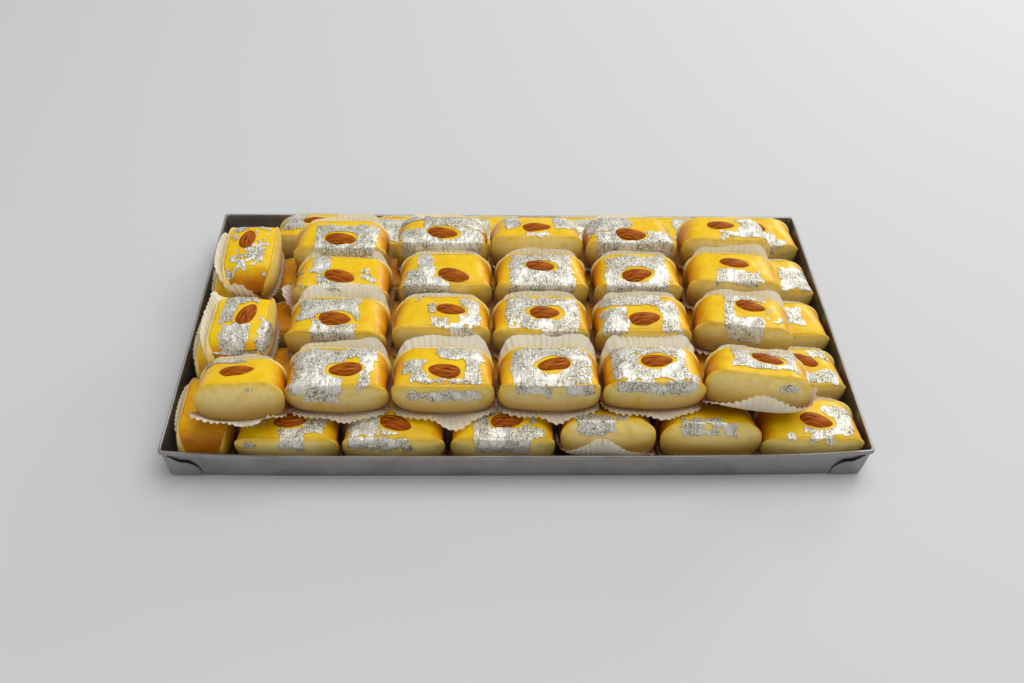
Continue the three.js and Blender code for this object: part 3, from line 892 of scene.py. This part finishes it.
def leaf_rays(u, v, width):
    """Where the ray for each point of the leaf starts, and which way it goes"""
    stretch = (width / 2) / 19
    t = np.clip((BEND_START - v) / (BEND_START - BEND_END), 0, 1) * math.pi / 2
    down = np.maximum(BEND_END - v, 0)
    pivot_y = np.where(v > BEND_START, v, BEND_START) * stretch
    direction = np.stack([u * 0, np.sin(t), -np.cos(t)], -1)
    pivot = np.stack([u, pivot_y, BEND_HEIGHT - down], -1)
    return pivot - 30 * direction, direction


def leaf_cover(u, v, sweet, seed):
    """Above zero where leaf lies, and how far inside the patch in millimetres"""
    ragged = 2.6 * rough_noise(u, v, 7, seed) + 0.9 * smooth_noise(u, v, 2.2, seed + 11)
    ragged = ragged + 0.5 * smooth_noise(u, v / 3, 1.2, seed + 12)
    holes = 0.55 * smooth_noise(u, v, 2.6, seed + 21) + 0.45 * smooth_noise(u, v, 5.5, seed + 22)
    cover = np.full(u.shape, -9.0)
    for left, front, far_right, back, *density in sweet["leaf"]:
        beyond = np.maximum(np.maximum(left - u, u - far_right), np.maximum(front - v, v - back))
        patch = -beyond + ragged
        level = density[0] if density else 0.93
        patch = np.minimum(patch, 3.2 * (holes + 2.2 * level - 1.28))
        cover = np.maximum(cover, patch)
    clear = beside_almond(u, v, sweet) - 0.2 - 2.1 * rough_noise(u, v, 8, seed + 31)
    return np.minimum(cover, clear)


def cut_to(points, triangles, amount):
    """The part of a triangle mesh where amount is above zero, cut cleanly along its zero line"""
    inside = amount > 0
    count = inside[triangles].sum(1)
    faces = triangles[count == 3].tolist()
    pairs, shapes = [], []
    for wanted in (1, 2):
        cut = triangles[count == wanted]
        lone = (inside[cut] == (wanted == 1)).argmax(1)
        order = (lone[:, None] + np.arange(3)) % 3
        a, b, c = np.take_along_axis(cut, order, 1).T
        shapes.append((wanted, a, b, c, len(pairs)))
        pairs += [np.stack([a, b], 1), np.stack([a, c], 1)]
    ends = np.sort(np.vstack(pairs), 1)
    edges, index = np.unique(ends, axis=0, return_inverse=True)
    index = np.split(index.ravel() + len(points), np.cumsum([len(p) for p in pairs])[:-1])
    share = amount[edges[:, 0]] / (amount[edges[:, 0]] - amount[edges[:, 1]])
    crossing = points[edges[:, 0]] * (1 - share[:, None]) + points[edges[:, 1]] * share[:, None]
    for wanted, a, b, c, at in shapes:
        ab, ac = index[at], index[at + 1]
        faces += (np.stack([a, ab, ac], 1) if wanted == 1 else np.stack([ab, b, c, ac], 1)).tolist()
    everything = np.vstack([points, crossing])
    used = sorted({k for face in faces for k in face})
    renumber = np.full(len(everything), -1)
    renumber[used] = np.arange(len(used))
    return everything[used], [[int(renumber[k]) for k in face] for face in faces]


def leaf_shape(sweet, body_points, body_faces, seed):
    """Points and faces of the leaf left on a sweet, or None where there is none"""
    half = sweet["length"] / 2
    u, v = np.meshgrid(np.arange(-half, half, LEAF_STEP), np.arange(18, -27, -LEAF_STEP), indexing="ij")
    cover = leaf_cover(u, v, sweet, seed)
    tree = BVHTree.FromPolygons(body_points.tolist(), body_faces)
    starts, ways = leaf_rays(u, v, sweet["width"])
    points = np.zeros(u.shape + (3,))
    for i, j in np.argwhere(cover > -2.5):
        spot, normal, _, _ = tree.ray_cast(Vector(starts[i, j]), Vector(ways[i, j]))
        if spot is None or (v[i, j] > BEND_END and spot.z < LOWEST_LEAF):
            cover[i, j] = -3
            continue
        crinkle = 0.5 + 0.5 * rough_noise(u[i, j], v[i, j], 3.4, seed + 41)
        lift = LEAF_LIFT + 0.34 * crinkle * min(1, max(0, cover[i, j]) / 1.5)
        points[i, j] = spot + normal * lift
    near = cover > -2.5
    quads = np.array(grid_faces(*u.shape, False))
    quads = quads[near.ravel()[quads].all(1)]
    triangles = np.vstack([quads[:, [0, 1, 2]], quads[:, [0, 2, 3]]])
    if not (cover.ravel()[triangles] > 0).any():
        return None
    points, faces = cut_to(points.reshape(-1, 3), triangles, cover.ravel())
    return points, [face[::-1] for face in faces]


# %% [markdown]
# ## The almonds
# An almond is a flattened drop: blunt at one end, pointed at the other. Its girth along its length
# is a product of two powers, one for each end, and its skin is pulled into long furrows.

# %% Almond
def almond_shape(sweet, seed):
    """Points, faces and unrolled lengths of the almond on top"""
    along, across, turn = sweet["almond"]
    stations = 0.5 - 0.5 * np.cos(np.radians(np.linspace(4, 176, 36)))
    angles = np.radians(np.arange(0, 360, 12))
    girth = stations**0.42 * (1 - stations) ** 0.66 / 0.485
    s, a = np.meshgrid(stations, angles, indexing="ij")
    round_mm = a * 5.2
    furrow = smooth_noise(round_mm, s * ALMOND_LENGTH / 7, 1.35, seed) * 0.16
    bulge = girth[:, None] * (1 + 0.03 * smooth_noise(s * 9, round_mm, 3, seed + 1))
    x = (s - 0.5) * ALMOND_LENGTH
    y = (ALMOND_WIDTH / 2 * bulge + furrow) * np.cos(a)
    z = (ALMOND_HEIGHT / 2 * bulge + furrow) * np.sin(a)
    c, k = math.cos(math.radians(turn)), math.sin(math.radians(turn))
    rings = np.stack([along + x * c - y * k, across + x * k + y * c,
                      SWEET_HEIGHT - ALMOND_SUNK + z], -1)
    points, faces = closed_shape(rings)
    unrolled = np.stack([x, round_mm * np.sqrt(girth[:, None]), 0 * x], -1).reshape(-1, 3)
    ends = np.array([[x.min(), 0, 0], [x.max(), 0, 0]])
    return points, faces, np.vstack([unrolled, ends]) * MM


# %% [markdown]
# ## The paper cases
# A case starts as a flat disc that was pressed into a fluted cup, and it stays fluted where it
# stands free. It leaves the sweet low at the front, as an apron that sags and lifts unevenly, stays
# low at the ends, and stands up behind the sweet as a fan. It is one sheet: a loop of pleats, evenly
# spaced round the sweet's own outline, and a few rows from under the sweet to the rim. The pleats
# push it in and out along the sheet's own normal, more and more towards the rim.

# %% Case
PLEATS = 47
STEPS_PER_PLEAT = 7
BELLY_GAP = 0.5
FRILL_REACH = 2.0
FAN_WIDER = 0.88
APRON_ANGLE = 281
APRON_SPREAD = 15
END_FLARE = 0.7
SYRUP_TOP = 15
SYRUP_RUN = 11
PLEAT_DEPTH = 0.7
CASE_BELLY = {"front": 1.6, "end": 3.0, "back": 7.5}
RIM_FRONT = 4.2
RIM_END = 1.2
APRON_RIM = 1.5
LOOP_HEIGHT = 8.0
WALL_ROOM = 2.6


def sweet_loop(sweet, z):
    """The sweet's outline at a height, all the way round from its left end by the front"""
    low = min(z, FULLEST)
    inner, wide = cut_place(low, sweet), sweet["width"] / 2 * share_across(low)
    reach = sweet["length"] / 2 * share_along(low)
    front = bow_shape(reach, inner, wide, sweet["nose"], 46)
    back = -bow_shape(reach, inner, wide, max(sweet["nose"], BACK_NOSE), 46)
    return np.vstack([front, back, front[:1]])


def inside_tray(points):
    """A case's points held off the tray's walls"""
    end, side = (cad_box[1][axis] / MM - WALL_ROOM for axis in (0, 1))
    x, y, z = points.T
    return np.column_stack([np.clip(x, -end, end), np.clip(y, -side, side), z])


def round_the_case(values, back_share):
    """A value that goes from the front by the ends to the back of the case"""
    t = smoothstep((np.abs(back_share) - 0.5) / 0.4)
    side = np.where(back_share > 0, values["back"], values["front"])
    return values["end"] * (1 - t) + side * t


def case_shape(sweet, seed):
    """Points, faces and syrup stain with painted shade of one paper case"""
    count = PLEATS * STEPS_PER_PLEAT
    loop = sweet_loop(sweet, LOOP_HEIGHT)
    run = np.concatenate([[0], np.cumsum(np.linalg.norm(np.diff(loop, axis=0), axis=1))])
    places = np.arange(count) * run[-1] / count
    x, y = (np.interp(places, run, loop[:, k]) for k in (0, 1))
    back_share = y / (sweet["width"] / 2)
    angles = np.degrees(np.arctan2(back_share, x / (sweet["length"] / 2)))
    apron = sweet["apron"] * np.exp(-(((angles - APRON_ANGLE + 180) % 360 - 180) / APRON_SPREAD) ** 2)
    fan = lip_height(FAN_WIDER * x, sweet, BACK_CORNER) + sweet["fan"]
    front_rim = RIM_FRONT - (RIM_FRONT - APRON_RIM) * np.minimum(apron / 4, 1)
    rim = round_the_case({"front": front_rim, "end": RIM_END, "back": fan}, back_share)
    reach = sweet["flare"] + (FRILL_REACH if sweet["flare"] > 0.5 else 0) + apron
    flare = round_the_case({"front": reach, "end": END_FLARE, "back": sweet["lean"]}, back_share)
    for middle, spread, higher, further in sweet["frills"]:
        gap = (angles - middle + 180) % 360 - 180
        bump = np.exp(-((gap / spread) ** 2))
        rim, flare = rim + higher * bump, flare + further * bump
    slack = np.clip((rim - 2) / 6, 0.25, 1)
    rim = rim + slack * (0.9 * smooth_noise(x, y, 13, seed) + 0.5 * smooth_noise(x, y, 5, seed + 1))
    flare = np.maximum(flare + 0.28 * flare * smooth_noise(x, y, 11, seed + 4), 0.6)
    belly = round_the_case(CASE_BELLY, back_share)
    belly = np.minimum(belly, 0.45 * rim)
    phase = 2 * math.pi * PLEATS * places / run[-1] + 2.2 * smooth_noise(x, y, 6, seed + 2)
    pleat = np.cos(phase) * (0.8 + 0.5 * smooth_noise(x, y, 5, seed + 3))
    pleat = pleat * (1 - 0.4 * smoothstep((back_share - 0.3) / 0.4))
    rows = np.array([0, 0.12, 0.26, 0.42, 0.58, 0.72, 0.86, 1.0])
    z_path, out_path = [np.full(count, 0.15)], [np.full(count, -3.0)]
    for t in rows:
        z_path.append(belly * (0.45 + 0.55 * min(1, t * 6)) + (rim - belly) * t)
        out_path.append(BELLY_GAP + (flare - BELLY_GAP) * t ** np.where(back_share > 0.3, 3.8, 1.7))
    base = []
    for z, out in zip(z_path, out_path):
        around = [np.interp(places, run, ring) for ring in sweet_loop(sweet, float(z.mean())).T]
        skin = np.stack(around, -1)
        along = np.roll(skin, -3, 0) - np.roll(skin, 3, 0)
        outward = np.stack([along[:, 1], -along[:, 0]], -1)
        outward /= np.linalg.norm(outward, axis=1, keepdims=True)
        base.append(np.column_stack([skin + outward * out[:, None], z]))
    base = np.array(base)
    normal = np.cross(np.roll(base, -1, 1) - np.roll(base, 1, 1), np.gradient(base, axis=0))
    normal /= np.maximum(np.linalg.norm(normal, axis=-1, keepdims=True), 1e-9)
    strength = np.concatenate([[0.0], 0.1 + PLEAT_DEPTH * rows**0.8])
    points = base + normal * (strength[:, None] * pleat[None, :])[..., None]
    points[..., 2] = np.maximum(points[..., 2], 0.12)
    # Syrup stain and painted shade, low down away from the front
    syrup = 0.85 * smoothstep((SYRUP_TOP - points[..., 2]) / SYRUP_RUN)
    syrup = syrup * smoothstep((back_share + 0.8) / 0.4)
    return points.reshape(-1, 3), grid_faces(len(base), count, True), syrup.ravel()


# %% [markdown]
# ## Making every sweet
# Now each row of the table becomes its pieces. The half, the filling, the leaf, the almond and the
# case are separate meshes, as they are separate foods. A sweet that lies under the others and
# doesn't show gets only its halves and its filling, with fewer points. Its curd and malai get extra
# painted shade all over, darker and a deeper orange, since what shows of it between the sweets on
# top lies in their shade.

# %% Build the sweets
SOAKED_PAINTED_SHADE = 0.24
COVERED_PAINTED_SHADE = 0.55
PAINTED_FOOT_SHADE = 0.95
PAINTED_SHADE_TOP = 21.5
PAINTED_SHADE_RUN = 18
HALF_CREASE = 48

triangle_count = 0
for number, (node, sweet) in enumerate(sweets.items()):
    seed = 100 * number + 7
    fine = sweet["shown"]
    code = node.replace("upper_", "").replace("lower_", "")
    front, front_faces, front_stain = half_shape(sweet, sweet["nose"], front_corner(sweet), seed, fine)
    plump = max(sweet["nose"], BACK_NOSE)
    back, back_faces, back_stain = half_shape(sweet, plump, BACK_CORNER, seed + 50, fine)
    halves, half_faces = joined([(front, front_faces), (turned_round(back), back_faces)])
    saffron_reach = np.concatenate([front_stain, PALE_BACK * back_stain])
    # Painted shade for a covered sweet or a soaked one: darker all over, curd and malai alike
    extra_painted_shade = SOAKED_PAINTED_SHADE * sweet["soaked"] if fine else COVERED_PAINTED_SHADE
    # Painted shade that darkens each half towards its foot
    painted_foot_shade = PAINTED_FOOT_SHADE * smoothstep((PAINTED_SHADE_TOP - halves[:, 2]) / PAINTED_SHADE_RUN)
    painted_foot_shade = np.minimum(painted_foot_shade + extra_painted_shade, 1)
    filling, filling_faces, filling_painted_shade = filling_shape(sweet, seed + 20, fine)
    layers = [
        ("chhena", "chhena", chhena, halves, half_faces, {"saffron": saffron_reach, "foot": painted_foot_shade}),
        ("malai", "malai", malai, filling, filling_faces,
         {"depth": np.minimum(filling_painted_shade + extra_painted_shade, 1)}),
    ]
    if sweet["leaf"]:
        body_points, body_faces = joined([(halves, half_faces), (filling, filling_faces)])
        leaf = leaf_shape(sweet, body_points, body_faces, seed + 30)
        if leaf:
            layers.append(("leaf", "silver_leaf", silver_leaf, *leaf, {}))
    if sweet["almond"]:
        nut, nut_faces, unrolled = almond_shape(sweet, seed + 60)
        layers.append(("almond", "almond_skin", almond_skin, nut, nut_faces, {"unrolled": unrolled}))
    if fine:
        paper, paper_faces, syrup = case_shape(sweet, seed + 70)
        layers.append(("case", "case_paper", case_paper, paper, paper_faces, {"syrup": syrup}))
    for layer, slot, material, points, faces, attributes in layers:
        points = lay_down(points, node, sweet)
        if layer == "case":
            points = inside_tray(points)
        crease = HALF_CREASE if layer == "chhena" else None
        piece = make_piece(
            f"{layer}_{code}", points, faces, material, [node], attributes, crease
        )
        triangle_count += len(piece.data.loop_triangles) or 2 * len(piece.data.polygons)
print(triangle_count, "triangles in the sweets")

# %% [markdown]
# ## The tray
# The tray is one sheet, folded by hand. Its profile goes from under the floor up the outside, over
# the hem and down the inside, and is swept round the rectangle. A thin wall isn't straight: the
# sweets push the front one out by three millimetres between its corners, where the photograph shows
# its rim sag. At each corner the spare metal is folded onto the long wall as an ear with a wavy
# edge, which stands off just enough to show a dark gap. The numbers are the CAD model's.

# %% Tray
TRAY_LENGTH, TRAY_DEPTH, TRAY_HEIGHT = 430, 237, 23.5
SHEET, WALL_LEAN, HEM, EAR = 0.9, 2.0, 0.8, 0.6
WALL_PUSH = {"foot": 2.0, "rim": 3.4, "down": 1.6}
EAR_EDGE = [(0, 19.4), (4, 17), (7.5, 15), (12, 15), (15, 12.5), (17, 9.5), (18, 6)]


def wall_inset(z):
    """How far the wall's outer face stands in from the rim at a height"""
    return HEM + WALL_LEAN * (1 - z / TRAY_HEIGHT)


def pushed(points):
    """The front wall pushed out between its corners, and its rim a little down"""
    x, y, z = points.T
    free = (1 - np.clip(np.abs(x) * 2 / TRAY_LENGTH, 0, 1) ** 5) * (y < 8 - TRAY_DEPTH / 2)
    up = np.clip(z / TRAY_HEIGHT, 0, 1)
    out = WALL_PUSH["foot"] * (1 - up) + WALL_PUSH["rim"] * up
    return np.column_stack([x, y - out * free, z - WALL_PUSH["down"] * up * free])


def tray_ring(inset, z):
    """Points round the tray at one place of its profile"""
    long, deep, bend = TRAY_LENGTH / 2 - inset, TRAY_DEPTH / 2 - inset, 2.0
    ring = []
    for turn in range(4):
        first, second = (long, deep) if turn % 2 == 0 else (deep, long)
        side = [(t * (first - bend), -second) for t in np.linspace(-1, 1, 33)[:-1]]
        curve = np.radians(np.linspace(-90, 0, 5)[:-1])
        side += [(first - bend + bend * math.cos(a), -second + bend + bend * math.sin(a)) for a in curve]
        c, s = [(1, 0), (0, 1), (-1, 0), (0, -1)][turn]
        ring += [(x * c - y * s, x * s + y * c, z) for x, y in side]
    return ring


def ear_shape(side):
    """The ear at the left (-1) or right (1) end of the front wall"""
    from_corner = np.linspace(0, 18, 21)
    edge = np.interp(from_corner, *np.array(EAR_EDGE).T)
    rings = []
    for s, top in zip(from_corner, edge):
        z = np.linspace(1.4, top, 7)
        off = 0.1 + 1.0 * smoothstep(s / 8) * ((z - 1.4) / 14) ** 2
        x = np.full(7, side * (TRAY_LENGTH / 2 - wall_inset(0) - 2 - s))
        y = -TRAY_DEPTH / 2 + wall_inset(z) - off
        outer = np.stack([x, y - EAR, z], -1)
        rings.append(np.vstack([outer, np.stack([x, y, z], -1)[::-1]]))
    points, faces = closed_shape(np.array(rings))
    return points, faces if side > 0 else [face[::-1] for face in faces]


profile = [(5, 0), (4, 0), (3.2, 0.3), (2.8, 1.2)]
profile += [(wall_inset(z), z) for z in (6, 12, 18, 20.4)]
profile += [(0.35, 20.5), (0.05, 20.8), (0, 21.4), (0, 22.7), (0.15, 23.2), (0.5, 23.5), (1.2, 23.5)]
profile += [(1.6, 23.3), (1.75, 22.9)] + [(wall_inset(z) + SHEET, z) for z in (18, 12, 6, 2.1)]
profile += [(3.9, 1.3), (4.8, SHEET), (6, SHEET)]
pan, pan_faces = closed_shape(np.array([tray_ring(*spot) for spot in profile]))
ears = [ear_shape(side) for side in (-1, 1)]
ears += [(turned_round(points), faces) for points, faces in ears]
steel, steel_faces = joined([(pan, pan_faces)] + ears)
make_piece("tray_steel", pushed(steel), steel_faces, stainless, ["tray"], crease=40)
print("tray", len(steel_faces), "faces")

# %% [markdown]
# ## Floor, light and finish
# A pale matt floor and an even pale sky give the soft shade of a bright room. One large panel above
# the tray, a little to the right and behind, brightens the tops, so the fronts of the sweets fall
# into soft shade as in the photograph, and the silver facets have something bright to catch. A
# smaller one far back on the right lights the right ends, and a weak one in front fills the shade.

# %% Floor and lights
FLOOR_HALF = 3.0

floor_material, _ = new_material("pale matt floor")
floor_shader = add_node(
    floor_material, "BsdfPrincipled",
    {"Base Color": linear("#D4D4D4"), "Roughness": 0.7, "Specular IOR Level": 0.3}
)
add_node(floor_material, "OutputMaterial", {}, {"Surface": floor_shader})
floor_mesh = bpy.data.meshes.new("floor")
corners = [(-1, -1, 0), (1, -1, 0), (1, 1, 0), (-1, 1, 0)]
floor_mesh.from_pydata([Vector(c) * FLOOR_HALF for c in corners], [], [(0, 1, 2, 3)])
floor_mesh.materials.append(floor_material)
floor = bpy.data.objects.new("floor", floor_mesh)
bpy.context.scene.collection.objects.link(floor)


def add_panel(name, place, target, size, power, colour):
    """A soft square light that faces a point"""
    light = bpy.data.lights.new(name, "AREA")
    light.shape = "RECTANGLE"
    light.size, light.size_y = size
    light.energy = power
    light.color = linear(colour)[:3]
    panel = bpy.data.objects.new(name, light)
    way = Vector(target) - Vector(place)
    panel.matrix_world = Matrix.Translation(place) @ way.to_track_quat("-Z", "Y").to_matrix().to_4x4()
    bpy.context.scene.collection.objects.link(panel)


add_panel("window", (0.7, 0.45, 2.2), (0.3, 0.35, 0), (2.6, 2.2), 44, "#FFFFFF")
add_panel("side window", (1.4, 1.9, 0.85), (0, 0, 0), (0.9, 0.7), 14, "#FFFFFF")
add_panel("fill", (-0.9, -0.65, 0.35), (-0.15, 0, 0), (0.7, 0.5), 1.0, "#FFFFFF")
world = bpy.data.worlds.new("pale room")
world.use_nodes = True
world.node_tree.nodes["Background"].inputs["Color"].default_value = linear("#F6F6F6")
world.node_tree.nodes["Background"].inputs["Strength"].default_value = 0.34
bpy.context.scene.world = world
bpy.context.scene.view_settings.view_transform = "Standard"
